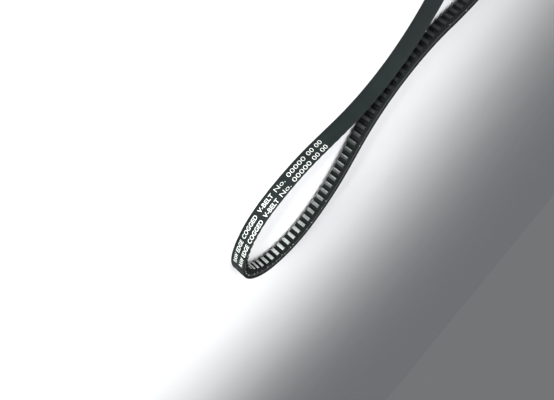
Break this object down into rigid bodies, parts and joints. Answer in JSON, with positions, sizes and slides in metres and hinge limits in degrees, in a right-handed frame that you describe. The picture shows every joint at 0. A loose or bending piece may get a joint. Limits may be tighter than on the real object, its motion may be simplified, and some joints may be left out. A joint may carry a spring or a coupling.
{
  "type": "v-belt",
  "caption": "Endless raw-edge V-belt with a flat fabric cover outside and moulded cogs inside, lying on its side in a loose waisted loop.",
  "frame": {"origin": "middle of the loop's bounding box on the plane the belt lies on", "axes": "+X along the loop from its small lobe to its large lobe, +Z across the belt's width"},
  "size_m": [0.5906, 0.1306, 0.017],
  "materials": {
    "cover_fabric": "matte",
    "ply_fabric": "matte",
    "top_rubber": "matte",
    "adhesion_gum": "satin",
    "tension_cord": "matte",
    "base_rubber": "matte",
    "facing_fabric": "satin"
  },
  "bodies": {
    "root": {"cover_outer_ply": "cover_fabric", "cover_inner_ply": "ply_fabric", "top_rubber": "top_rubber", "upper_adhesion_gum": "adhesion_gum", "tension_cord_01": "tension_cord", "tension_cord_02": "tension_cord", "tension_cord_03": "tension_cord", "tension_cord_04": "tension_cord", "tension_cord_05": "tension_cord", "tension_cord_06": "tension_cord", "tension_cord_07": "tension_cord", "tension_cord_08": "tension_cord", "tension_cord_09": "tension_cord", "tension_cord_10": "tension_cord", "tension_cord_11": "tension_cord", "tension_cord_12": "tension_cord", "tension_cord_13": "tension_cord", "lower_adhesion_gum": "adhesion_gum", "cogged_compression_rubber": "base_rubber", "cog_facing_fabric": "facing_fabric"}
  },
  "joints": []
}
